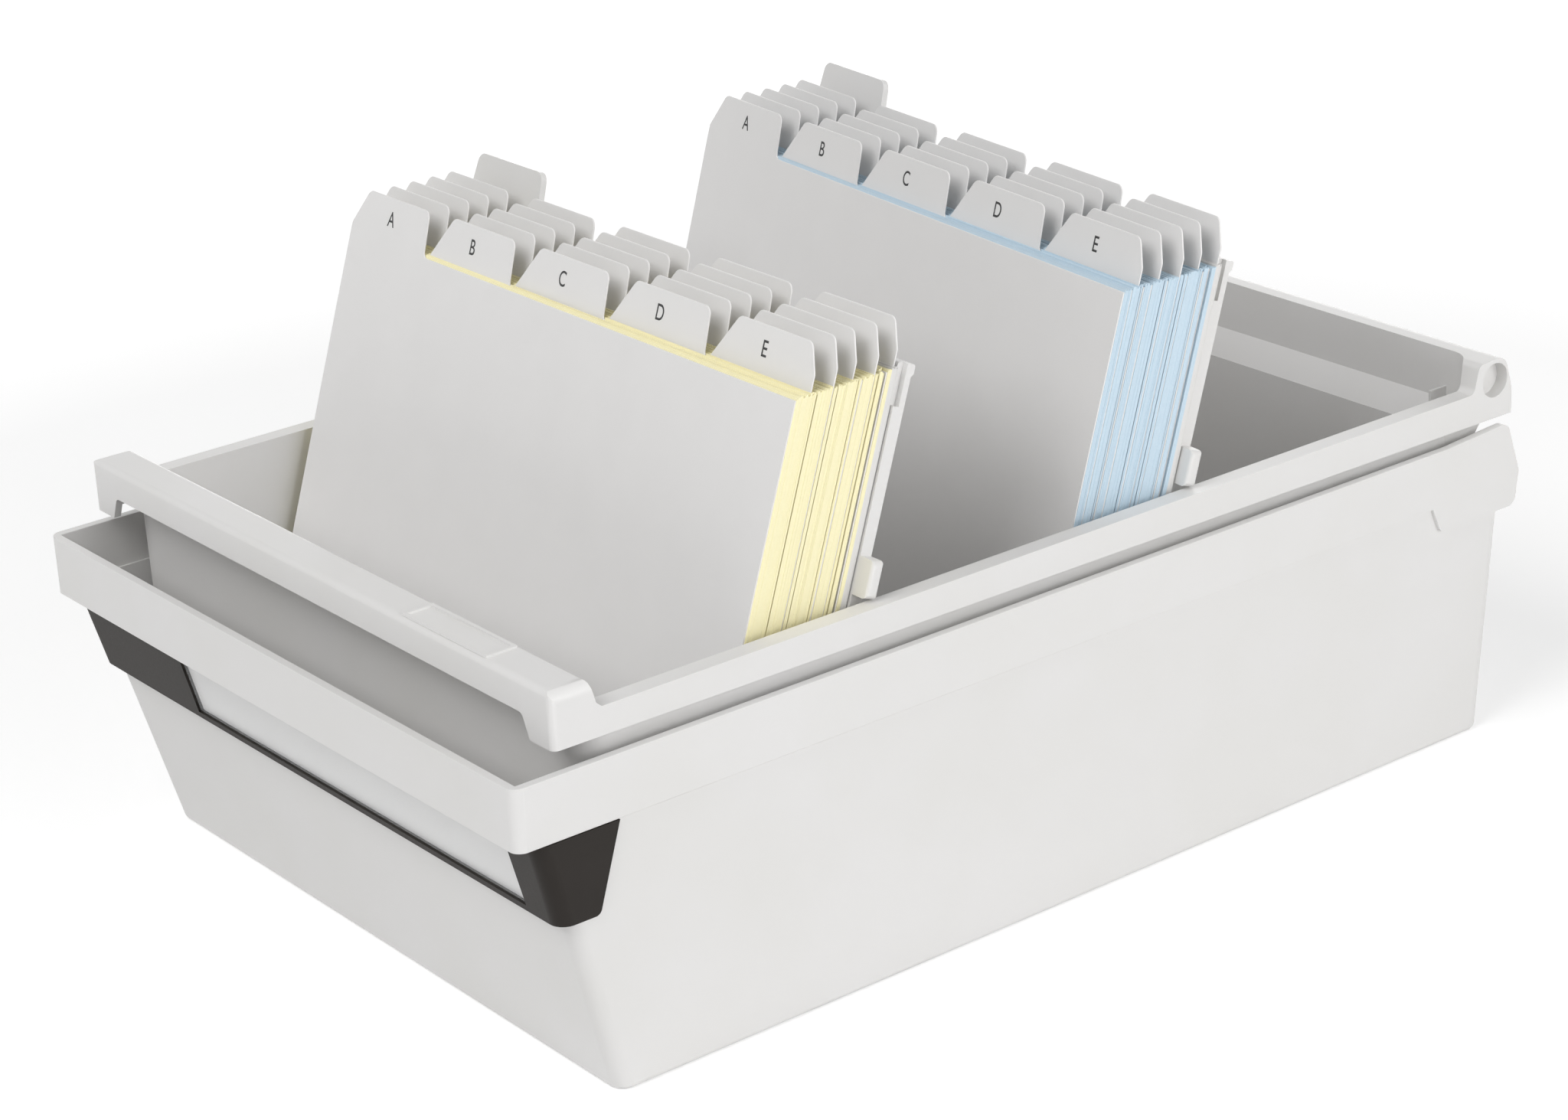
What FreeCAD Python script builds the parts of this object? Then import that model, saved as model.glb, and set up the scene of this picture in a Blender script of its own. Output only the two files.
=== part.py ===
import FreeCAD, Part
import math
import os

# Index card drawer for A5 landscape cards. A card trough with a pull bar stands loosely in a
# deep outer shell. Two card sets, each with 25 lettered guides in five rows, lean back on two
# support plates whose ears ride on the side rims of the trough.
# Millimetres. X runs across, Y to the back, Z up. Y is measured from the front of the shell's
# band while the pieces are made, and the origin is then moved under the middle of the drawer.

V = FreeCAD.Vector

# Cards and the guides between them
card_width = 210.0
card_height = 150.4
guide_drop = 0.6
guide_thickness = 0.45
card_overhang = 0.2
tabs_across = 5
rows_per_set = 5
row_pitch = 6.8
row_gap = 0.3
standing_gap = 0.2
tab_base = 39.0
tab_height = 13.2
tab_left_slant = 7.5
tab_right_slant = 2.0
tab_corner = 3.0

# Shell as a whole, and the trough's rims above its top edge
shell_length = 360.6
shell_height = 97.5
rim_rise = 12.5

# Trough. Its card space is as wide as the cards and the gaps beside them.
trough_depth = 86.0
trough_floor = 2.4
trough_wall = 2.4
trough_corner = 9.0
trough_edge_radius = 3.0
card_side_gap = 4.0
side_draft = 0.5
front_draft = 0.8
rear_draft = 1.5
rear_wall_inset = 17.6
rim_width = 5.5
rim_skin = 2.2
rim_corner = 1.6
skirt_thickness = 2.0
skirt_front_height = 7.8
skirt_rear_height = 9.7

# Pull bar at the front of the trough
bar_front = 14.7
bar_depth = 11.8
bar_rise = 8.0
bar_lip_height = 9.2
bar_edge = 1.8
bar_end_edge = 2.0
bar_end_radius = 3.6
bar_back_slope = 1.8
bar_back_foot_rise = 1.4
bar_blend = 3.4
bar_end_width = 13.0
bar_notch_slant = 2.8
bar_notch_corner = 2.0
name_plate_end_gap = 29.0
name_plate_width = 38.5
name_plate_inset = 1.1
name_plate_border = 1.1
name_plate_raise = 0.6

# Raised rear rim of the trough, with a socket for a hinge pin at each end. Insets are measured
# forward from the bulge at the back, rises and drops from the top of the side rims.
ramp_end_inset = 15.0
ramp_run = 2.2
ramp_rise = 8.4
ramp_radius = 2.4
rear_top_inset = 4.0
rear_top_rise = 8.9
rear_top_radius = 4.4
rear_bulge_drop = 5.4
rear_bottom_inset = 0.8
rear_corner = 2.6
riser_foot_drop = 14.0
riser_head_drop = 7.0
riser_inset = 11.1
riser_corner = 8.0
socket_radius = 5.25
socket_depth = 4.0
socket_boss_wall = 1.6
socket_inset = 8.3
socket_rise = 2.2
gusset_inset = 11.5
gusset_thickness = 0.9
gusset_drop = 3.0

# Walls of the shell, and its play round the trough's rims and foot
shell_wall = 2.6
rim_play = 0.3
foot_side_play = 0.3
foot_front_play = 0.45
band_height = 17.5
band_corner = 3.5
body_front = 8.6
body_rear_inset = 5.1
body_rear_draft = 2.5
body_corner = 5.0
foot_edge_radius = 2.0

# Wings at the back of the shell, each with a pin inside
wing_top_inset = 5.4
wing_top_rise = 1.4
wing_waist_rise = 2.6
wing_tip_inset = 1.8
wing_length = 30.6
wing_drop = 7.8
wing_tab_length = 33.4
wing_tab_slant = 3.6
wing_corner = 3.4
wing_tab_corner = 2.6
pin_clearance = 0.25
pin_tip_gap = 0.2
pin_chamfer = 0.5
pin_ledge_gap = 0.4

# Black label frame round the front of the shell, with its strip and clear cover
frame_thickness = 3.2
frame_cheek_thickness = 0.9
frame_height = 24.7
frame_corner = 4.5
frame_top_gap = 0.3
cheek_bottom_y = 24.0
cheek_top_y = 31.0
cheek_corner = 2.0
strip_end_gap = 15.4
strip_length = 162.5
strip_lip = 1.9
strip_height = 20.0
pocket_depth = 2.2
strip_thickness = 0.6
cover_thickness = 0.9
strip_play = 0.25

# Support plates
plate_side_reach = 1.0
plate_rise = 1.7
plate_sheet = 2.0
plate_depth = 3.8
plate_flange = 1.8
plate_bead_height = 2.6
plate_bead_depth = 0.8
plate_bead_radius = 0.8
plate_rib = 1.6
plate_rib_share = 0.33
plate_notch_height = 11.5
plate_notch_depth = 1.9
plate_tab_inset = 10.0
plate_tab_width = 36.0
plate_tab_height = 16.5
ear_reach = 5.8
ear_height = 10.4
ear_corner = 2.0
ear_edge = 1.2

# Places of the two card sets: front foot on the trough floor, lean from upright and turn.
# The rear set stands askew. Its cards and its plate turn about centres of their own, so that
# both stay between the side walls.
cards_turn_y = 33.0
plate_turn_y = 55.0
front_set_y = 53.6
front_set_lean_angle = 18.8
front_set_turn_angle = 0.0
rear_set_y = 181.0
rear_set_lean_angle = 16.5
rear_set_turn_angle = -5.0

# Overrun of cutting tools past the faces that they open
overrun = 5.0

# Distance under which two points count as one
match = 0.005

# Heights that follow
ledge_z = shell_height - band_height
rim_top_z = shell_height + rim_rise
trough_floor_z = rim_top_z - trough_depth
floor_top = trough_floor_z + trough_floor
seat_z = trough_floor_z + trough_edge_radius
rim_bottom_front_z = rim_top_z - skirt_front_height
rim_bottom_rear_z = rim_top_z - skirt_rear_height
bar_top_z = rim_top_z + bar_rise
rear_top_z = rim_top_z + rear_top_rise
riser_foot_z = rim_top_z - riser_foot_drop
riser_head_z = rim_top_z - riser_head_drop
socket_z = rim_top_z + socket_rise
wing_top_z = shell_height + wing_top_rise
wing_bottom_z = ledge_z - wing_drop
frame_bottom_z = ledge_z - frame_top_gap - frame_height
guide_height = card_height - guide_drop

# Half widths that follow
inner_half_floor = card_width / 2 + card_side_gap
inner_half_rim = inner_half_floor + side_draft
rim_half = inner_half_rim + rim_width
shell_half = rim_half + rim_play + shell_wall
body_half = shell_half - frame_cheek_thickness
bar_notch_half = rim_half - bar_end_width
plate_half = card_width / 2 + plate_side_reach

# Places along the drawer that follow
inner_front_rim = bar_front + bar_depth
inner_front_floor = inner_front_rim + front_draft
inner_rear_rim = shell_length - rear_wall_inset
inner_rear_floor = inner_rear_rim - rear_draft
riser_inner_y = shell_length - riser_inset
socket_y = shell_length - socket_inset
body_rear = shell_length - body_rear_inset
stack_depth = rows_per_set * row_pitch

pin_radius = socket_radius - pin_clearance
row_names = ("a_e", "f_j", "k_o", "p_t", "u_z")


def rounded_wire(corners, place):
    """Closed outline through corners (a, b, radius), with place turning (a, b) into a point."""
    arcs = []
    for index, (a, b, radius) in enumerate(corners):
        here = V(a, b, 0)
        before = V(corners[index - 1][0], corners[index - 1][1], 0) - here
        following = corners[(index + 1) % len(corners)]
        after = V(following[0], following[1], 0) - here
        if radius == 0:
            arcs.append((here, None, here))
            continue
        half = before.getAngle(after) / 2
        before.normalize()
        after.normalize()
        middle = before + after
        middle.normalize()
        reach = radius / math.tan(half)
        arcs.append((here + before * reach, here + middle * (radius / math.sin(half) - radius),
                     here + after * reach))
    edges = []
    for index, (start, mid, end) in enumerate(arcs):
        last = arcs[index - 1][2]
        if not last.isEqual(start, match):
            edges.append(Part.LineSegment(place(last.x, last.y), place(start.x, start.y)).toShape())
        if mid is not None:
            points = [place(point.x, point.y) for point in (start, mid, end)]
            edges.append(Part.Arc(*points).toShape())
    return Part.Wire(edges)


def across(corners, half):
    """Solid from a side outline in Y and Z, running from minus half to half in X."""
    wire = rounded_wire(corners, lambda y, z: V(-half, y, z))
    return Part.Face(wire).extrude(V(2 * half, 0, 0))


def upright(corners, low, high):
    """Solid from a plan outline in X and Y, standing from low to high."""
    wire = rounded_wire(corners, lambda x, y: V(x, y, low))
    return Part.Face(wire).extrude(V(0, 0, high - low))


def plan(section, radius):
    """Corners of a rectangle in plan from a section (half width, front, rear)."""
    half, front, rear = section
    return [(-half, front, radius), (half, front, radius), (half, rear, radius), (-half, rear, radius)]


def level_rings(section, heights, radius):
    """Level outlines with rounded corners that follow section(z)."""
    return [rounded_wire(plan(section(z), radius), lambda x, y, z=z: V(x, y, z)) for z in heights]


def drafted_block(section, low, high, radius):
    """Solid with flat drafted sides and rounded corners that follows section(z)."""
    rings = level_rings(section, (low, high), radius)
    faces = [Part.Face(ring) for ring in rings]
    for below, above in zip(rings[0].Edges, rings[1].Edges):
        corners = [vertex.Point for vertex in below.Vertexes + above.Vertexes[::-1]]
        if isinstance(below.Curve, Part.Circle):
            faces.append(below.extrude(corners[-1] - corners[0]))
        else:
            faces.append(Part.Face(Part.makePolygon(corners + corners[:1])))
    shell = Part.makeShell(faces)
    shell.sewShape()
    return Part.makeSolid(shell)


def footed_block(section, low, high, radius, edge_radius):
    """Drafted block with a rounded edge round its bottom."""
    split = low + 2 * edge_radius
    foot = Part.makeLoft(level_rings(section, (low, split), radius), True, True)
    foot = foot.makeFillet(edge_radius, bottom_edges(foot, low))
    return foot.fuse(drafted_block(section, split, high, radius))


def inset_section(section, inset):
    """Section that lies inside another by inset all round."""
    def inner(z):
        half, front, rear = section(z)
        return (half - inset, front + inset, rear - inset)
    return inner


def between(low, high, share):
    """Section values a share of the way from low to high."""
    return tuple(a + (b - a) * share for a, b in zip(low, high))


def body_section(z):
    """Outside of the shell's body, which narrows to the foot of the trough and on below it."""
    seat = (
        inner_half_floor + trough_wall + foot_side_play + shell_wall,
        inner_front_floor - trough_wall - foot_front_play - shell_wall,
        body_rear - body_rear_draft,
    )
    return between(seat, (body_half, body_front, body_rear), (z - seat_z) / (ledge_z - seat_z))


def trough_section(z):
    """Inside of the trough, with its draft."""
    floor = (inner_half_floor, inner_front_floor, inner_rear_floor)
    rim = (inner_half_rim, inner_front_rim, inner_rear_rim)
    return between(floor, rim, (z - floor_top) / (rim_top_z - floor_top))


def bottom_edges(solid, z):
    """Edges of a solid that lie wholly at one height."""
    return [edge for edge in solid.Edges
            if abs(edge.BoundBox.ZMin - z) < match and abs(edge.BoundBox.ZMax - z) < match]


def shell_band():
    """Block for the band and its two wings, as wide as the shell."""
    side = [
        (0, ledge_z, 0),
        (0, shell_height, 0),
        (shell_length - wing_length, shell_height, 0),
        (shell_length - wing_top_inset, wing_top_z, wing_corner),
        (shell_length, ledge_z + wing_waist_rise, 0),
        (shell_length - wing_tip_inset, wing_bottom_z, wing_corner),
        (shell_length - wing_tab_length, wing_bottom_z, wing_tab_corner),
        (shell_length - wing_tab_length - wing_tab_slant, ledge_z, 0),
    ]
    section = (shell_half, 0, shell_length + overrun)
    corners = [(x, y, band_corner if y == 0 else 0) for x, y, _ in plan(section, 0)]
    return across(side, shell_half).common(upright(corners, 0, wing_top_z + overrun))


def hinge_pins():
    """Two pins on the inner faces of the wings, for the sockets of the trough."""
    pins = []
    inner = shell_half - shell_wall
    pin_length = inner - inner_half_rim - trough_wall - pin_tip_gap
    pin_z = ledge_z + shell_wall + pin_ledge_gap + pin_radius
    for side in (-1, 1):
        pin = Part.makeCylinder(pin_radius, pin_length, V(side * inner, socket_y, pin_z), V(-side, 0, 0))
        tip = [edge for edge in pin.Edges
               if abs(edge.CenterOfMass.x - side * (inner - pin_length)) < pin_chamfer
               and edge.BoundBox.XLength < pin_chamfer]
        pins.append(pin.makeChamfer(pin_chamfer, tip))
    return pins


def outer_shell():
    """Deep shell with a slanted front wall under a plain band, open at the top."""
    body = footed_block(body_section, 0, ledge_z, body_corner, foot_edge_radius)
    top = ledge_z + shell_wall
    cavity_section = inset_section(body_section, shell_wall)
    cavity = drafted_block(cavity_section, shell_wall, top, body_corner - shell_wall)
    inner = shell_half - shell_wall
    mouth_plan = plan((inner, shell_wall, shell_length + overrun), 0)
    mouth = upright(mouth_plan, top, wing_top_z + overrun)
    behind_plan = plan((inner, body_rear, shell_length + overrun), 0)
    behind = upright(behind_plan, wing_bottom_z - overrun, wing_top_z + overrun)
    shell = body.fuse(shell_band()).cut(cavity).cut(mouth).cut(behind)
    return shell.fuse(hinge_pins()).removeSplitter()


def frame_skin_section(z):
    """Outside of the label frame, round the front of the shell's body."""
    half, front, rear = body_section(z)
    return (half + frame_cheek_thickness, front - frame_thickness, rear)


def front_slice(depth, thickness, play):
    """Slice of the label strip's outline, drawn in by play, its face depth before the wall."""
    right = shell_half - strip_end_gap - play
    left = right - strip_length + 2 * play
    low = frame_bottom_z + strip_lip + play
    high = low + strip_height - 2 * play
    corners = []
    for offset, z in ((0, low), (0, high), (thickness, high), (thickness, low)):
        wall_y = body_section(z)[1]
        corners.append((wall_y - depth + offset, z, 0))
    wire = rounded_wire(corners, lambda y, z: V(left, y, z))
    return Part.Face(wire).extrude(V(right - left, 0, 0))


def label_frame():
    """Black frame that wraps both front corners, with a pocket for the label strip."""
    top = ledge_z - frame_top_gap
    cheek = [
        (-overrun, frame_bottom_z, 0),
        (cheek_bottom_y, frame_bottom_z, cheek_corner),
        (cheek_top_y, top, 0),
        (-overrun, top, 0),
    ]
    skin = drafted_block(frame_skin_section, frame_bottom_z, top, frame_corner)
    body = drafted_block(body_section, frame_bottom_z, top, body_corner)
    frame = skin.common(across(cheek, shell_half + overrun)).cut(body)
    return frame.cut(front_slice(frame_thickness + overrun, pocket_depth + overrun, 0))


def rim_outline(skin, front_bottom, rear_bottom):
    """Side outline of the rim, bar and raised rear, set in by skin and open at the bottom."""
    back = inner_front_rim
    shoulder = skin / 2
    ramp_end = shell_length - ramp_end_inset
    return [
        (bar_front + skin, front_bottom, 0),
        (bar_front + skin, bar_top_z - skin, bar_edge),
        (back - shoulder, bar_top_z - skin, bar_edge),
        (back + bar_back_slope - shoulder, rim_top_z + bar_back_foot_rise - skin, 0),
        (back + bar_blend, rim_top_z - skin, 0),
        (ramp_end - ramp_run, rim_top_z - skin, ramp_radius),
        (ramp_end, rim_top_z + ramp_rise - skin, ramp_radius),
        (shell_length - rear_top_inset - shoulder, rear_top_z - skin, rear_top_radius - skin),
        (shell_length - skin, rim_top_z - rear_bulge_drop, rear_corner),
        (shell_length - rear_bottom_inset - skin, rear_bottom, 0),
    ]


def bar_end_slivers():
    """What the rounded top edges at both ends of the bar leave out."""
    slivers = []
    depth = inner_front_rim + bar_blend - bar_front + overrun
    size = bar_end_radius + overrun
    centre_z = bar_top_z - bar_end_radius
    for side in (-1, 1):
        centre_x = side * (rim_half - bar_end_radius)
        low_x = min(centre_x, centre_x + side * size)
        box = Part.makeBox(size, depth, size, V(low_x, bar_front - overrun, centre_z))
        start = V(centre_x, bar_front - overrun, centre_z)
        slivers.append(box.cut(Part.makeCylinder(bar_end_radius, depth, start, V(0, 1, 0))))
    return slivers


def rim_block():
    """Rim, pull bar and raised rear as a channel that is open underneath."""
    outside = across(rim_outline(0, rim_bottom_front_z, rim_bottom_rear_z), rim_half)
    corners = plan((rim_half, bar_front, shell_length), 0)
    corners = [(x, y, rim_corner if y > bar_front else bar_end_edge) for x, y, _ in corners]
    outside = outside.common(upright(corners, 0, rear_top_z + overrun)).cut(bar_end_slivers())
    low = rim_bottom_rear_z - overrun
    hollow = across(rim_outline(rim_skin, low, low), rim_half - skirt_thickness)
    return outside.cut(hollow)


def trough_walls():
    """Drafted walls and floor, with the step back under the raised rear rim."""
    top = rear_top_z + overrun
    rim_under_z = rim_top_z - rim_skin
    section = inset_section(trough_section, -trough_wall)
    tub = footed_block(section, trough_floor_z, rim_under_z, trough_corner, trough_edge_radius)
    tub = tub.fuse(upright(plan(section(rim_under_z), trough_corner), rim_under_z, top))
    outer_rear = inner_rear_rim + trough_wall
    riser = [
        (inner_rear_rim - riser_corner, riser_foot_z - trough_wall, 0),
        (outer_rear, riser_foot_z - trough_wall, 0),
        (riser_inner_y + trough_wall, riser_head_z - trough_wall / 2, 0),
        (riser_inner_y + trough_wall, top, 0),
        (inner_rear_rim - riser_corner, top, 0),
    ]
    walls = tub.fuse(across(riser, inner_half_rim + trough_wall))
    return walls.common(across(rim_outline(0, 0, 0), rim_half))


def trough_cavity():
    """Card space, wider to the back above the step."""
    top = rear_top_z + overrun
    rim_under_z = rim_top_z - rim_skin
    radius = trough_corner - trough_wall
    main = drafted_block(trough_section, floor_top, rim_under_z, radius)
    main = main.fuse(upright(plan(trough_section(rim_under_z), radius), rim_under_z, top))
    step = [
        (inner_rear_rim - riser_corner, riser_foot_z, 0),
        (inner_rear_rim, riser_foot_z, 0),
        (riser_inner_y, riser_head_z, 0),
        (riser_inner_y, top, 0),
        (inner_rear_rim - riser_corner, top, 0),
    ]
    corners = plan((inner_half_rim, bar_front, riser_inner_y), 0)
    corners = [(x, y, riser_corner if y > bar_front else 0) for x, y, _ in corners]
    rear = across(step, inner_half_rim).common(upright(corners, 0, top))
    return main.fuse(rear)


def bar_notch():
    """Cut that leaves the lip of the bar shorter than its two ends."""
    wide = bar_notch_half + bar_notch_slant
    low = rim_bottom_front_z - overrun
    lip_z = bar_top_z - bar_lip_height
    corners = [
        (-wide, low, 0),
        (wide, low, 0),
        (wide, rim_bottom_front_z, 0),
        (bar_notch_half, lip_z, bar_notch_corner),
        (-bar_notch_half, lip_z, bar_notch_corner),
        (-wide, rim_bottom_front_z, 0),
    ]
    wire = rounded_wire(corners, lambda x, z: V(x, bar_front - overrun, z))
    return Part.Face(wire).extrude(V(0, overrun + rim_skin, 0))


def name_plate():
    """Bare raised border on the top of the bar."""
    left = rim_half - name_plate_end_gap - name_plate_width
    front = bar_front + name_plate_inset
    depth = bar_depth - 2 * name_plate_inset
    plate = Part.makeBox(name_plate_width, depth, name_plate_raise, V(left, front, bar_top_z))
    border = name_plate_border
    field = Part.makeBox(name_plate_width - 2 * border, depth - 2 * border, name_plate_raise,
                         V(left + border, front + border, bar_top_z))
    return plate.cut(field)


def rear_gussets():
    """Thin upright ribs on the sloping step of the rear wall."""
    gussets = []
    depth = riser_inner_y - inner_rear_rim + trough_wall / 2
    height = riser_foot_drop - gusset_drop
    for side in (-1, 1):
        x = side * (inner_half_rim - gusset_inset) - gusset_thickness / 2
        gussets.append(Part.makeBox(gusset_thickness, depth, height, V(x, inner_rear_rim, riser_foot_z)))
    return gussets


def trough():
    """Moulded card trough: walls, rims, pull bar and hinge sockets in one piece."""
    boss_radius = socket_radius + socket_boss_wall
    inner = inner_half_rim
    bosses = []
    sockets = []
    for side in (-1, 1):
        bosses.append(Part.makeCylinder(boss_radius, rim_half - inner - skirt_thickness / 2,
                                        V(side * inner, socket_y, socket_z), V(side, 0, 0)))
        sockets.append(Part.makeCylinder(socket_radius, socket_depth + overrun,
                                         V(side * (rim_half - socket_depth), socket_y, socket_z),
                                         V(side, 0, 0)))
    limit = across(rim_outline(rim_skin / 2, rim_bottom_rear_z, rim_bottom_rear_z), rim_half)
    body = rim_block().cut(bar_notch())
    body = body.fuse([boss.common(limit) for boss in bosses])
    body = body.fuse(trough_walls()).cut(trough_cavity())
    for socket in sockets:
        body = body.cut(socket)
    return body.fuse([name_plate()] + rear_gussets()).removeSplitter()


def place_set(shape, y, turn, turn_y):
    """Stand a piece made at the front foot of a set in its place on the trough floor."""
    shape.rotate(V(0, turn_y, 0), V(0, 0, 1), turn)
    shape.translate(V(0, y, floor_top + standing_gap))
    return shape


def leaning_sheet(corners, start, thickness, lean):
    """Sheet whose outline lies in the leaning plane, with its feet flat on the floor."""
    angle = math.radians(lean)
    rise = math.cos(angle)
    run = math.sin(angle)
    wire = rounded_wire(corners, lambda x, v: V(x, start + v * run, v * rise))
    return Part.Face(wire).extrude(V(0, thickness, 0))


def guide_outline(position):
    """Guide card with its tab in one of the places across the top."""
    half = card_width / 2
    left = -half + position * (card_width - tab_base) / (tabs_across - 1)
    right = left + tab_base
    top = guide_height + tab_height
    corners = [(-half, 0, 0), (half, 0, 0)]
    if position < tabs_across - 1:
        corners.append((half, guide_height, 0))
    corners += [
        (right, guide_height, 0),
        (right - tab_right_slant, top, tab_corner),
        (left + tab_left_slant, top, tab_corner),
        (left, guide_height, 0),
    ]
    if position:
        corners.append((-half, guide_height, 0))
    return corners


def guide_starts(row):
    """Depth at which each guide of a row starts, and the depth of one guide with its cards."""
    pitch = row_pitch / tabs_across
    return [row * row_pitch + index * pitch for index in range(tabs_across)], pitch


def row_guides(row, lean):
    """Five guide cards of one row, one for each tab place."""
    starts, _ = guide_starts(row)
    sheets = [leaning_sheet(guide_outline(index), start, guide_thickness, lean)
              for index, start in enumerate(starts)]
    return Part.makeCompound(sheets)


def row_cards(row, lean):
    """Packs of cards that stand behind the guides of one row."""
    starts, pitch = guide_starts(row)
    half = card_width / 2 + card_overhang
    corners = [(-half, 0, 0), (half, 0, 0), (half, card_height, 0), (-half, card_height, 0)]
    packs = []
    for index, start in enumerate(starts):
        last = row_gap if index == tabs_across - 1 else 0
        packs.append(leaning_sheet(corners, start + guide_thickness, pitch - guide_thickness - last, lean))
    return Part.makeCompound(packs)


def plate_ears(lean):
    """Two rounded ears whose lower rear edges stand on the side rims."""
    angle = math.radians(lean)
    low = (rim_top_z - floor_top + plate_depth * math.sin(angle)) / math.cos(angle)
    high = low + ear_height
    half = plate_half + ear_reach
    wire = rounded_wire(plan((half, low, high), ear_corner), lambda x, v: V(x, 0, v))
    bar = Part.Face(wire).extrude(V(0, plate_depth, 0))
    bar = bar.common(upright(plan((half, 0, plate_depth), ear_edge), low, high))
    inner = plate_half - plate_flange
    return bar.cut(Part.makeBox(2 * inner, plate_depth, ear_height, V(-inner, 0, low)))


def plate_notches(top):
    """Notches in the front of both top corners of a plate."""
    low = top - plate_notch_height
    length = plate_flange + overrun
    notches = []
    for x in (-plate_half - overrun, plate_half - plate_flange):
        notches.append(Part.makeBox(length, plate_notch_depth + overrun, plate_notch_height + overrun,
                                    V(x, -overrun, low)))
    return notches


def plate_tab(top):
    """Grip tab that stands up from the sheet of a plate, near its left end."""
    left = plate_tab_inset - plate_half
    right = left + plate_tab_width
    foot = top - plate_flange
    head = top + plate_tab_height
    tab = [
        (left, foot, 0),
        (left + tab_right_slant, head, tab_corner),
        (right - tab_right_slant, head, tab_corner),
        (right, foot, 0),
    ]
    wire = rounded_wire(tab, lambda x, v: V(x, 0, v))
    return Part.Face(wire).extrude(V(0, plate_sheet, 0))


def support_plate(lean):
    """Leaning plate with a rim behind its sheet, ribs, a tab and two ears on the side rims."""
    top = guide_height + plate_rise
    bead_foot = top - plate_bead_height
    block = across([
        (0, -overrun, 0),
        (0, top, plate_sheet / 2),
        (plate_depth + plate_bead_depth, top, plate_bead_radius),
        (plate_depth + plate_bead_depth, bead_foot, 0),
        (plate_depth, bead_foot - plate_bead_depth, 0),
        (plate_depth, -overrun, 0),
    ], plate_half)
    pocket = across([
        (plate_sheet, plate_flange, 0),
        (plate_sheet, top - plate_flange, 0),
        (plate_depth + overrun, top - plate_flange, 0),
        (plate_depth + overrun, plate_flange, 0),
    ], plate_half - plate_flange)
    plate = block.cut([pocket] + plate_notches(top))
    for side in (-1, 1):
        x = side * plate_rib_share * plate_half - plate_rib / 2
        plate = plate.fuse(Part.makeBox(plate_rib, plate_depth - plate_sheet, top - plate_flange,
                                        V(x, plate_sheet, 0)))
    plate = plate.fuse([plate_tab(top), plate_ears(lean)])
    plate.rotate(V(0, 0, 0), V(1, 0, 0), -lean)
    plate.translate(V(0, stack_depth + row_gap / 2, 0))
    below = Part.makeBox(4 * plate_half, 4 * plate_half, 4 * overrun,
                         V(-2 * plate_half, -2 * plate_half, -4 * overrun))
    return plate.cut(below).removeSplitter()


def export(name, shape):
    """Write one node with the origin under the middle of the drawer."""
    shape.translate(V(0, -shell_length / 2, 0))
    shape.exportStep("parts/" + name + ".step")


def card_set(name, y, lean, turn):
    """Five rows of guides and cards of one set, with the plate behind them."""
    for row, letters in enumerate(row_names):
        export(name + "_guides_" + letters, place_set(row_guides(row, lean), y, turn, cards_turn_y))
        export(name + "_cards_" + letters, place_set(row_cards(row, lean), y, turn, cards_turn_y))
    export(name + "_support_plate", place_set(support_plate(lean), y, turn, plate_turn_y))


os.makedirs("parts", exist_ok=True)
export("outer_shell", outer_shell())
export("label_frame", label_frame())
strip_back = frame_thickness - pocket_depth
export("label_strip", front_slice(strip_back + strip_thickness, strip_thickness, strip_play))
cover_back = strip_back + strip_thickness
export("label_cover", front_slice(cover_back + cover_thickness, cover_thickness, strip_play))
export("trough", trough())
card_set("front_set", front_set_y, front_set_lean_angle, front_set_turn_angle)
card_set("rear_set", rear_set_y, rear_set_lean_angle, rear_set_turn_angle)
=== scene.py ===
import math
import random

import bmesh
import bpy
from mathutils import Matrix, Vector


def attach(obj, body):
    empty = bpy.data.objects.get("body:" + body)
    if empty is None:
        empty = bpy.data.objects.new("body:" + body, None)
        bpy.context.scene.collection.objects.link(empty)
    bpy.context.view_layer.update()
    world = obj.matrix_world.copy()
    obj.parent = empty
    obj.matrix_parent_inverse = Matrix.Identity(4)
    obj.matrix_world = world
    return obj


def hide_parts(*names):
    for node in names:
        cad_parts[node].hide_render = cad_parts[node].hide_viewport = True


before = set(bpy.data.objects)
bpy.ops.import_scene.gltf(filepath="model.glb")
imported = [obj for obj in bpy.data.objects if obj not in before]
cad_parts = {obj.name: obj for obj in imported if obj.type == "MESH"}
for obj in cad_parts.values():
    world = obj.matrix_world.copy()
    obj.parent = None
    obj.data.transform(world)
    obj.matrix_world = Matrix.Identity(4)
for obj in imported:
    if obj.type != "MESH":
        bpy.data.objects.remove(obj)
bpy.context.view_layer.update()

# Index card drawer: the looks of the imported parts. Metres, in the parts' own frame, with the
# origin on the ground under the middle of the drawer and the pull bar towards minus Y.

MM = 0.001
DRAWER_MIDDLE = 180.3 * MM

# Card sets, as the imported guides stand. Depths in a set are counted from its first guide.
ROWS = {"a_e": "ABCDE", "f_j": "FGHIJ", "k_o": "KLMNO", "p_t": "PQRST", "u_z": "UVWXZ"}
SETS = {
    "front": {"start": 53.6 * MM, "lean": 18.8, "turn": 0.0, "paper": "yellow"},
    "rear": {"start": 181.0 * MM, "lean": 16.5, "turn": -5.0, "paper": "blue"},
}
FLOOR_Z = 26.6 * MM
TURN_DEPTH = 33 * MM
TABS = 5
ROW_PITCH = 6.8 * MM
PACK_PITCH = ROW_PITCH / TABS
ROW_GAP = 0.3 * MM

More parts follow.
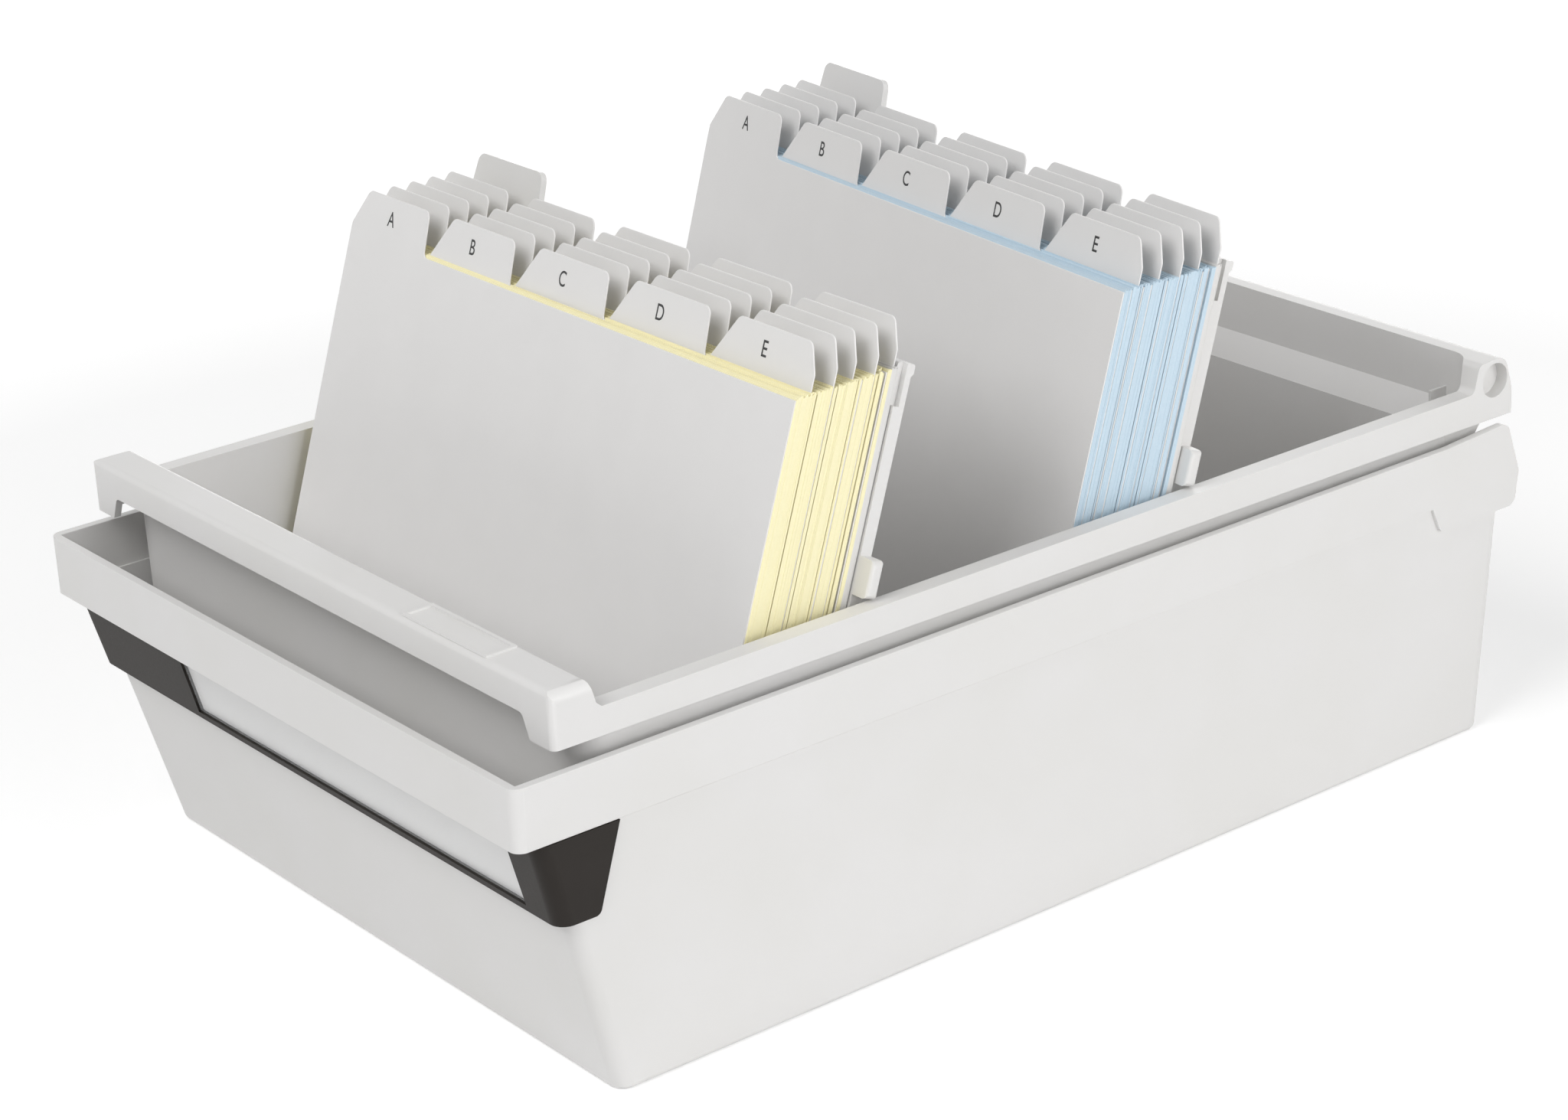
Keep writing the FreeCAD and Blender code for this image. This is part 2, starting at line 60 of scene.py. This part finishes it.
# Guides. PROUD gives those that stand out at the sides; the others are a little narrower.
GUIDE_HALF = 105 * MM
GUIDE_INSET = 0.7 * MM
GUIDE_HEIGHT = 149.8 * MM
GUIDE_THICKNESS = 0.45 * MM
GUIDE_EDGE_ROUND = 0.16 * MM
PROUD = {"yellow": (0, 9, 16, 19, 22), "blue": (0, 2, 5, 7, 11, 14, 16, 20)}
TAB_EDGES = (-105 * MM, -66 * MM, -24.8 * MM, 18 * MM, 61.5 * MM, 105 * MM)
TAB_GAP = 0.5 * MM
TAB_HEIGHT = 13.2 * MM
TAB_LEFT_SLANT = 9 * MM
TAB_RIGHT_SLANT = 1.2 * MM
TAB_RADIUS = 2.6 * MM
TAB_FOOT_RADIUS = 1.8 * MM
FIRST_TAB_RISE = 2.7 * MM
FIRST_TAB_SLANT = 6.2 * MM
LAST_TAB_RISE = 5.2 * MM
LAST_TAB_SLANT = 3.4 * MM

# Loose cards between the guides. Packs are counted from the front of a set, as guides are.
# Those in PARTED stand a little apart from the next guide, and one was pushed to the left.
# From CARD_FAN outwards the cards spread over a narrower guide behind them.
CARDS_PER_PACK = 4
CARD_GAP_SHARE = 0.03
CARD_TOP = 150.3 * MM
CARD_HALF = 105.2 * MM
CARD_FAN = 104 * MM
CARD_JITTER_X = 0.07 * MM
CARD_JITTER_Z = 0.4 * MM
CARD_TONES = (0.65, 0.95)
LEAST_TONE = 0.25
CARD_SEED = 26
PARTED = {"yellow": (8, 11, 15, 19), "blue": (3, 6, 10, 13, 18)}
PARTED_GAP = 0.12 * MM
SHIFTED_PACK = 21
SHIFTED_BY = 2.2 * MM
FIRST_WHITE_PACK = 23

# Letters on the tabs
LETTER_HEIGHT = 4.4 * MM
LETTER_WIDTH_SHARE = 0.8
LETTER_WEIGHT_SHARE = 0.007
LETTER_RISE = 7.2 * MM
LETTER_LIFT = 0.02 * MM
LETTER_MERGE = 0.001 * MM

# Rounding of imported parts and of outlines
SHELL_EDGE = 0.35 * MM
LABEL_FRAME_EDGE = 0.3 * MM
TROUGH_EDGE = 0.8 * MM
PLATE_EDGE = 0.4 * MM
COVER_EASE = 0.04 * MM
EDGE_STEPS = 2
CORNER_STEPS = 6
MERGE = 0.02 * MM
FLAT = math.radians(0.6)
SHARP = math.radians(36)
LONG_EDGE = 3 * MM

# Moulded plastic: its colours blend over CLOUD_STOPS of a slow noise.
CLOUD_STOPS = (0.35, 0.65)
GRAIN_SIZE = 0.5 * MM
GRAIN_DEPTH = 0.02 * MM
GLOSS_SPREAD = 0.06

# Camera
CAMERA_PLACE = (0.8279, -0.6312, 0.4963)
CAMERA_YAW = 52.9
CAMERA_PITCH = 22.18
CAMERA_ROLL = -2.94
CAMERA_LENS = 87.85
CAMERA_SENSOR = 36
CAMERA_NEAR = 0.01

# Lamps: place and power in watts of each. The ground glows more the further it is from the
# drawer, so that it fades to white, and the surroundings give less light than they show.
LAMPS = {
    "right_soft_lamp": ((1.75, 0.25, 0.7), 16),
    "front_soft_lamp": ((0.2, -1.3, 1.5), 18),
    "rear_soft_lamp": ((-1.7, 1.6, 0.3), 15),
}
LAMP_AIM = (0, 0, 0.08)
LAMP_SIZE = 1.3
GROUND_HALF = 6.0
GLOW_NEAR, GLOW_FAR = 0.45, 1.1
GLOW_NEAR_LEVEL, GLOW_FAR_LEVEL = 0.35, 0.95
WORLD_LIGHT_LEVEL, WORLD_SEEN_LEVEL = 0.3, 1.0
WHITE = (1, 1, 1, 1)


# Materials

def linear(hex_colour):
    """sRGB hex colour as linear RGBA."""
    parts = [int(hex_colour[i:i + 2], 16) / 255 for i in (1, 3, 5)]
    return tuple(c / 12.92 if c <= 0.04045 else ((c + 0.055) / 1.055) ** 2.4 for c in parts) + (1,)


def add(tree, kind, links=None, **settings):
    """Adds a shader node with its settings, and links output sockets to its inputs."""
    node = tree.nodes.new("ShaderNode" + kind)
    for name, value in settings.items():
        if hasattr(node, name):
            setattr(node, name, value)
        else:
            node.inputs[name.replace("_", " ")].default_value = value
    for name, output in (links or {}).items():
        tree.links.new(output, node.inputs[name])
    return node


def new_material(name, **settings):
    """Material of one Principled surface, with its tree, its shader and the object's space."""
    material = bpy.data.materials.new(name)
    material.use_nodes = True
    tree = material.node_tree
    tree.nodes.clear()
    shader = add(tree, "BsdfPrincipled", **settings)
    add(tree, "OutputMaterial", {"Surface": shader.outputs["BSDF"]})
    return material, tree, shader, add(tree, "TexCoord").outputs["Object"]


def noise(tree, space, size, detail):
    """Noise with spots of the given size."""
    return add(tree, "TexNoise", {"Vector": space}, Scale=1 / size, Detail=detail).outputs["Fac"]


def between(tree, share, first, second):
    """Colour that goes from the first hex colour to the second."""
    return add(tree, "MixRGB", {"Fac": share}, Color1=linear(first),
               Color2=linear(second)).outputs["Color"]


def set_gloss(tree, shader, pattern, low, high):
    """Lets the roughness follow a pattern."""
    gloss = add(tree, "MapRange", {"Value": pattern}, To_Min=low, To_Max=high)
    tree.links.new(gloss.outputs["Result"], shader.inputs["Roughness"])


def set_relief(tree, shader, pattern, strength, depth):
    """Lets a fine relief follow a pattern."""
    bump = add(tree, "Bump", {"Height": pattern}, Strength=strength, Distance=depth)
    tree.links.new(bump.outputs["Normal"], shader.inputs["Normal"])


def moulded(name, dark, light, roughness, ior, shine, cloud):
    """Injection-moulded plastic: slow cloudiness of colour and a fine spark-eroded grain."""
    material, tree, shader, space = new_material(name, IOR=ior, Specular_IOR_Level=shine)
    shade = add(tree, "ValToRGB", {"Fac": noise(tree, space, size=cloud, detail=2)})
    for stop, position, colour in zip(shade.color_ramp.elements, CLOUD_STOPS, (dark, light)):
        stop.position = position
        stop.color = linear(colour)
    tree.links.new(shade.outputs["Color"], shader.inputs["Base Color"])
    grain = noise(tree, space, size=GRAIN_SIZE, detail=3)
    set_gloss(tree, shader, grain, low=roughness - GLOSS_SPREAD, high=roughness + GLOSS_SPREAD)
    set_relief(tree, shader, grain, strength=0.35, depth=GRAIN_DEPTH)
    return material


def card_stock(name, dark, light):
    """Index card: uncoated board, matt, with fibres and cards of slightly different age."""
    material, tree, shader, space = new_material(name, Roughness=0.88, IOR=1.5,
                                                 Specular_IOR_Level=0.25)
    tone = add(tree, "Attribute", attribute_name="tone").outputs["Fac"]
    spare = add(tree, "Attribute", attribute_name="white").outputs["Fac"]
    fibre = noise(tree, space, size=0.9 * MM, detail=4)
    age = add(tree, "Math", {0: tone, 1: fibre}, operation="MULTIPLY_ADD")
    age.inputs[2].default_value = LEAST_TONE
    tinted = between(tree, age.outputs["Value"], dark, light)
    board = add(tree, "MixRGB", {"Fac": spare, "Color1": tinted}, Color2=linear("#E4E3E1"))
    tree.links.new(board.outputs["Color"], shader.inputs["Base Color"])
    set_relief(tree, shader, fibre, strength=0.3, depth=0.03 * MM)
    return material


def guide_sheet():
    """Guide card of rigid polypropylene sheet: satin, with the fine haze of a calendered sheet."""
    material, tree, shader, space = new_material("polypropylene_guide_sheet", IOR=1.49)
    haze = noise(tree, space, size=14 * MM, detail=3)
    shade = between(tree, haze, "#E7E6E5", "#EBEAE9")
    tree.links.new(shade, shader.inputs["Base Color"])
    skin = noise(tree, space, size=0.6 * MM, detail=2)
    set_gloss(tree, shader, skin, low=0.42, high=0.56)
    set_relief(tree, shader, skin, strength=0.2, depth=0.01 * MM)
    return material


def label_stock():
    """Blank label of smooth white board."""
    material, tree, shader, space = new_material("smooth_label_board", Roughness=0.6, IOR=1.5)
    fibre = noise(tree, space, size=1.2 * MM, detail=4)
    shade = between(tree, fibre, "#F1F0EF", "#F6F5F4")
    tree.links.new(shade, shader.inputs["Base Color"])
    return material


def clear_cover():
    """Thin clear polystyrene strip: nearly invisible but for its gloss."""
    material, tree, shader, space = new_material("clear_polystyrene_strip", Alpha=0.14, IOR=1.59,
                                                 Base_Color=linear("#F2F4F5"))
    rub = noise(tree, space, size=5 * MM, detail=4)
    set_gloss(tree, shader, rub, low=0.08, high=0.2)
    return material


def letter_ink():
    """Dark grey screen-printing ink: dense and slightly satin."""
    material, tree, shader, space = new_material("screen_printing_ink", Roughness=0.55, IOR=1.5)
    wear = noise(tree, space, size=0.4 * MM, detail=3)
    shade = between(tree, wear, "#232323", "#343434")
    tree.links.new(shade, shader.inputs["Base Color"])
    return material


LIGHT_GREY = moulded("moulded_polystyrene_light_grey", "#E1E0DE", "#E3E2E1", roughness=0.46,
                     ior=1.59, shine=0.5, cloud=40 * MM)
BLACK = moulded("moulded_abs_black", "#272320", "#2B2724", roughness=0.5, ior=1.54, shine=0.15,
                cloud=30 * MM)
CARD_PAPER = {
    "yellow": card_stock("yellow_index_board", "#FAF2C4", "#FFF9D2"),
    "blue": card_stock("blue_index_board", "#C4DAE9", "#D2E4F0"),
}
GUIDE = guide_sheet()
LABEL = label_stock()
COVER = clear_cover()
INK = letter_ink()


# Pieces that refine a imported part

def filled(mesh, shape):
    """The mesh, filled from a bmesh that is done with."""
    shape.to_mesh(mesh)
    shape.free()
    return mesh


def place_piece(name, mesh, material, body):
    """Object for a finished mesh, riding on its body."""
    piece = bpy.data.objects.new(name, mesh)
    bpy.context.scene.collection.objects.link(piece)
    mesh.materials.clear()
    mesh.materials.append(material)
    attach(piece, body)
    return piece


def joined_copy(name, node):
    """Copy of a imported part's mesh, and a bmesh of it with its triangles joined."""
    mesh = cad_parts[node].data.copy()
    mesh.name = name
    shape = bmesh.new()
    shape.from_mesh(mesh)
    bmesh.ops.remove_doubles(shape, verts=shape.verts, dist=MERGE)
    return mesh, shape


def finished_copy(name, node, body, material, edge_radius, close_edges=True):
    """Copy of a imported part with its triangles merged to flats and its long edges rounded.

    Where close_edges is true the rounding is held back by the narrowest flat.
    """
    mesh, shape = joined_copy(name, node)
    bmesh.ops.dissolve_limit(shape, angle_limit=FLAT, verts=shape.verts, edges=shape.edges)
    long_edges = [edge for edge in shape.edges
                  if edge.is_manifold and edge.is_convex and edge.calc_face_angle() > SHARP
                  and edge.calc_length() > LONG_EDGE]
    bmesh.ops.bevel(shape, geom=long_edges, offset=edge_radius, segments=EDGE_STEPS,
                    profile=0.5, affect="EDGES", clamp_overlap=close_edges, material=-1)
    for edge in shape.edges:
        edge.smooth = not (edge.is_manifold and edge.calc_face_angle() > SHARP)
    for face in shape.faces:
        face.smooth = True
    piece = place_piece(name, filled(mesh, shape), material, body)
    normals = piece.modifiers.new("flat_faces", "WEIGHTED_NORMAL")
    normals.keep_sharp = True
    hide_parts(node)


def clear_strip():
    """Clear strip of the label, a hair thinner than the room between the label and the frame."""
    mesh, shape = joined_copy("clear_strip", "label_cover")
    shape.normal_update()
    for vert in shape.verts:
        vert.co -= vert.normal * COVER_EASE
    piece = place_piece("clear_strip", filled(mesh, shape), COVER, "shell")
    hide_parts("label_cover")


def dress_mouldings():
    """Shell with its label, trough and support plates."""
    finished_copy("shell", "outer_shell", "shell", LIGHT_GREY, SHELL_EDGE,
                  close_edges=False)
    finished_copy("label_holder", "label_frame", "shell", BLACK,
                  LABEL_FRAME_EDGE)
    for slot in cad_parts["label_strip"].material_slots:
        slot.material = LABEL
    clear_strip()
    finished_copy("card_trough", "trough", "trough", LIGHT_GREY, TROUGH_EDGE)
    for which in SETS:
        finished_copy(f"{which}_plate", f"{which}_set_support_plate", f"{which}_support",
                      LIGHT_GREY, PLATE_EDGE)


# Card sets

def rounded(corners):
    """Outline through (x, height, radius) corners, as a list of points."""
    points = []
    for index, (x, height, radius) in enumerate(corners):
        here = Vector((x, height))
        if radius == 0:
            points.append(here)
            continue
        before = (Vector(corners[index - 1][:2]) - here).normalized()
        after = (Vector(corners[(index + 1) % len(corners)][:2]) - here).normalized()
        half = before.angle(after) / 2
        reach = radius / math.tan(half)
        centre = here + (before + after).normalized() * (radius / math.sin(half))
        first = here + before * reach - centre
        sweep = first.angle_signed(here + after * reach - centre)
        for step in range(CORNER_STEPS + 1):
            points.append(centre + Matrix.Rotation(-sweep * step / CORNER_STEPS, 2) @ first)
    return points


def guide_outline(position, half):
    """Corners of a guide with its tab in one of the places across the top."""
    left = TAB_EDGES[position] + TAB_GAP / 2
    right = TAB_EDGES[position + 1] - TAB_GAP / 2
    top = GUIDE_HEIGHT + TAB_HEIGHT
    corners = [(-half, 0, 0), (half, 0, 0)]
    if position < TABS - 1:
        corners += [(half, GUIDE_HEIGHT, 0), (right, GUIDE_HEIGHT, TAB_FOOT_RADIUS),
                    (right - TAB_RIGHT_SLANT, top, TAB_RADIUS)]
    else:
        corners += [(half, GUIDE_HEIGHT + LAST_TAB_RISE, TAB_FOOT_RADIUS),
                    (half - LAST_TAB_SLANT, top, TAB_RADIUS)]
    if position:
        corners += [(left + TAB_LEFT_SLANT, top, TAB_RADIUS),
                    (left, GUIDE_HEIGHT, TAB_FOOT_RADIUS), (-half, GUIDE_HEIGHT, 0)]
    else:
        corners += [(FIRST_TAB_SLANT - half, top, TAB_RADIUS),
                    (-half, GUIDE_HEIGHT + FIRST_TAB_RISE, TAB_FOOT_RADIUS)]
    return corners


def set_frame(which):
    """Matrix from a set's own upright plane (x, depth, height along the lean) to its place."""
    made = SETS[which]
    lean = math.radians(made["lean"])
    shear = Matrix.Identity(4)
    shear[1][2] = math.sin(lean)
    shear[2][2] = math.cos(lean)
    pivot = Matrix.Translation((0, TURN_DEPTH, 0))
    turn = pivot @ Matrix.Rotation(math.radians(made["turn"]), 4, "Z") @ pivot.inverted()
    stand = Matrix.Translation((0, made["start"] - DRAWER_MIDDLE, FLOOR_Z))
    return stand @ turn @ shear


def row_numbers(row):
    """Numbers of the guides of a row, which are also those of the packs behind them."""
    first = list(ROWS).index(row) * TABS
    return range(first, first + TABS)


def guide_start(guide):
    """Depth at which a guide starts."""
    row, position = divmod(guide, TABS)
    return row * ROW_PITCH + position * PACK_PITCH


def add_sheet(shape, points, start, thickness):
    """Adds an upright sheet with the given outline to a bmesh. Returns its vertices."""
    verts = [shape.verts.new((p.x, start, p.y)) for p in points]
    face = shape.faces.new(verts)
    grown = bmesh.ops.extrude_face_region(shape, geom=[face])
    back = [item for item in grown["geom"] if isinstance(item, bmesh.types.BMVert)]
    bmesh.ops.translate(shape, verts=back, vec=(0, thickness, 0))
    return verts + back


def place_in_set(kind, which, row, shape, material):
    """Piece of one row, from a bmesh that still stands in its set's upright plane."""
    name = f"{which}_{kind}_{row}"
    shape.transform(set_frame(which))
    mesh = filled(bpy.data.meshes.new(name), shape)
    return place_piece(name, mesh, material, f"{which}_row_{row}")


def guides(which, row):
    """Five guides of one row, with eased edges and rounded tab feet."""
    shape = bmesh.new()
    for guide in row_numbers(row):
        inset = 0 if guide in PROUD[SETS[which]["paper"]] else GUIDE_INSET
        outline = rounded(guide_outline(guide % TABS, GUIDE_HALF - inset))
        add_sheet(shape, outline, guide_start(guide), GUIDE_THICKNESS)
    rims = [edge for edge in shape.edges if len(edge.link_faces) == 2
            and edge.calc_face_angle() > SHARP
            and abs(edge.verts[0].co.y - edge.verts[1].co.y) < MERGE
            and min(vert.co.z for vert in edge.verts) > GUIDE_HEIGHT - MERGE]
    bmesh.ops.bevel(shape, geom=rims, offset=GUIDE_EDGE_ROUND, segments=EDGE_STEPS,
                    profile=0.5, affect="EDGES", material=-1)
    bmesh.ops.recalc_face_normals(shape, faces=shape.faces)
    piece = place_in_set("guides", which, row, shape, GUIDE)
    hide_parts(f"{which}_set_guides_{row}")


def letter_mesh(letter):
    """Flat mesh of one capital, centred on its place and standing upright."""
    curve = bpy.data.curves.new("letter", "FONT")
    curve.body = letter
    curve.align_x = "CENTER"
    curve.offset = LETTER_WEIGHT_SHARE
    text = bpy.data.objects.new("letter", curve)
    bpy.context.scene.collection.objects.link(text)
    bpy.context.view_layer.update()
    mesh = bpy.data.meshes.new_from_object(text)
    bpy.data.objects.remove(text)
    bpy.data.curves.remove(curve)
    sides = [vert.co.x for vert in mesh.vertices]
    heights = [vert.co.y for vert in mesh.vertices]
    size = LETTER_HEIGHT / (max(heights) - min(heights))
    middle = Vector((max(sides) + min(sides), max(heights) + min(heights), 0)) / 2
    mesh.transform(Matrix.Diagonal((size * LETTER_WIDTH_SHARE, size, size, 1))
                   @ Matrix.Translation(-middle))
    mesh.transform(Matrix.Rotation(math.radians(90), 4, "X"))
    return mesh


def letters(which, row):
    """Printed letters on the five tabs of one row."""
    shape = bmesh.new()
    for guide, letter in zip(row_numbers(row), ROWS[row]):
        left, right = TAB_EDGES[guide % TABS:guide % TABS + 2]
        mesh = letter_mesh(letter)
        mesh.transform(Matrix.Translation(((left + right) / 2, guide_start(guide) - LETTER_LIFT,
                                           GUIDE_HEIGHT + LETTER_RISE)))
        shape.from_mesh(mesh)
        bpy.data.meshes.remove(mesh)
    bmesh.ops.remove_doubles(shape, verts=shape.verts, dist=LETTER_MERGE)
    place_in_set("letters", which, row, shape, INK)


def add_pack(shape, tone, white, paper, pack, luck):
    """Adds the cards of one pack, each a little out of line with the next."""
    start = guide_start(pack)
    room = PACK_PITCH - GUIDE_THICKNESS - (ROW_GAP if pack % TABS == TABS - 1 else 0)
    depth = (room - (PARTED_GAP if pack in PARTED[paper] else 0)) / CARDS_PER_PACK
    shift = SHIFTED_BY if pack == SHIFTED_PACK else 0
    covers_guide = pack + 1 < TABS * len(ROWS) and pack + 1 not in PROUD[paper]
    for card in range(CARDS_PER_PACK):
        left = -CARD_HALF + luck.uniform(-1, 1) * CARD_JITTER_X
        right = CARD_HALF + luck.uniform(-1, 1) * CARD_JITTER_X - shift
        top = CARD_TOP + luck.uniform(-1, 1) * CARD_JITTER_Z
        shade = luck.uniform(*CARD_TONES)
        sides = (left, -CARD_FAN, min(CARD_FAN, right - CARD_JITTER_X), right)
        outline = [Vector((x, 0)) for x in sides] + [Vector((x, top)) for x in reversed(sides)]
        front = start + GUIDE_THICKNESS + card * depth
        for vert in add_sheet(shape, outline, front, depth * (1 - CARD_GAP_SHARE)):
            vert[tone] = shade
            vert[white] = float(pack >= FIRST_WHITE_PACK)
            if covers_guide and abs(vert.co.x) > CARD_FAN + MERGE:
                vert.co.y += GUIDE_THICKNESS * (vert.co.y - start - GUIDE_THICKNESS) / room


def cards(which, row, luck):
    """Loose cards behind the guides of one row."""
    paper = SETS[which]["paper"]
    shape = bmesh.new()
    tone = shape.verts.layers.float.new("tone")
    white = shape.verts.layers.float.new("white")
    for pack in row_numbers(row):
        add_pack(shape, tone, white, paper, pack, luck)
    bmesh.ops.recalc_face_normals(shape, faces=shape.faces)
    piece = place_in_set("cards", which, row, shape, CARD_PAPER[paper])
    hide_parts(f"{which}_set_cards_{row}")


def dress_cards():
    """Guides, letters and loose cards of both sets."""
    luck = random.Random(CARD_SEED)
    for which in SETS:
        for row in ROWS:
            guides(which, row)
            letters(which, row)
            cards(which, row, luck)


# Light and camera

def make_camera():
    """Camera at the photograph's viewing angle."""
    yaw, pitch, roll = (math.radians(a) for a in (CAMERA_YAW, CAMERA_PITCH, CAMERA_ROLL))
    ahead = Vector((-math.sin(yaw) * math.cos(pitch), math.cos(yaw) * math.cos(pitch),
                    -math.sin(pitch)))
    right = Vector((math.cos(yaw), math.sin(yaw), 0))
    down = -right.cross(ahead)
    turned_right = right * math.cos(roll) - down * math.sin(roll)
    turned_down = right * math.sin(roll) + down * math.cos(roll)
    camera = bpy.data.objects.new("camera", bpy.data.cameras.new("camera"))
    bpy.context.scene.collection.objects.link(camera)
    camera.matrix_world = Matrix.Translation(CAMERA_PLACE) @ Matrix(
        (turned_right, -turned_down, -ahead)).transposed().to_4x4()
    camera.data.lens = CAMERA_LENS
    camera.data.sensor_width = CAMERA_SENSOR
    camera.data.clip_start = CAMERA_NEAR
    bpy.context.scene.camera = camera


def make_lamp(name, place, power):
    """Large soft lamp that faces the drawer."""
    lamp = bpy.data.lights.new(name, "AREA")
    lamp.shape = "DISK"
    lamp.size = LAMP_SIZE
    lamp.energy = power
    holder = bpy.data.objects.new(name, lamp)
    holder.location = place
    ahead = Vector(LAMP_AIM) - Vector(place)
    holder.rotation_euler = ahead.to_track_quat("-Z", "Y").to_euler()
    bpy.context.scene.collection.objects.link(holder)


def seen_straight(tree):
    """Socket that is 1 where the eye, a reflection or a clear piece shows a surface."""
    path = add(tree, "LightPath").outputs
    seen = path["Is Camera Ray"]
    for other in ("Is Glossy Ray", "Is Transmission Ray"):
        seen = add(tree, "Math", {0: seen, 1: path[other]}, operation="MAXIMUM").outputs["Value"]
    return seen


def make_ground():
    """White ground that keeps the drawer's soft shadow."""
    shape = bmesh.new()
    bmesh.ops.create_grid(shape, x_segments=1, y_segments=1, size=GROUND_HALF)
    mesh = filled(bpy.data.meshes.new("ground"), shape)
    ground = bpy.data.objects.new("ground", mesh)
    bpy.context.scene.collection.objects.link(ground)
    material, tree, shader, space = new_material(
        "white_ground", Roughness=0.9, Base_Color=linear("#F2F2F2"), Specular_IOR_Level=0,
        Emission_Color=WHITE)
    away = add(tree, "VectorMath", {0: space}, operation="LENGTH")
    glow = add(tree, "MapRange", {"Value": away.outputs["Value"]}, From_Min=GLOW_NEAR,
               From_Max=GLOW_FAR, To_Min=GLOW_NEAR_LEVEL, To_Max=GLOW_FAR_LEVEL)
    glow = add(tree, "Math", {0: glow.outputs["Result"], 1: seen_straight(tree)},
               operation="MULTIPLY")
    tree.links.new(glow.outputs["Value"], shader.inputs["Emission Strength"])
    mesh.materials.append(material)


def make_world():
    """Even pale surroundings, seen as white."""
    world = bpy.data.worlds.new("studio")
    bpy.context.scene.world = world
    world.use_nodes = True
    tree = world.node_tree
    tree.nodes.clear()
    level = add(tree, "MapRange", {"Value": seen_straight(tree)}, To_Min=WORLD_LIGHT_LEVEL,
                To_Max=WORLD_SEEN_LEVEL)
    light = add(tree, "Background", {"Strength": level.outputs["Result"]}, Color=WHITE)
    add(tree, "OutputWorld", {"Surface": light.outputs["Background"]})


def make_studio():
    """Camera, ground, surroundings and soft lamps."""
    make_camera()
    make_ground()
    make_world()
    for name, (place, power) in LAMPS.items():
        make_lamp(name, place, power)
    bpy.context.scene.view_settings.view_transform = "Standard"


dress_mouldings()
dress_cards()
make_studio()
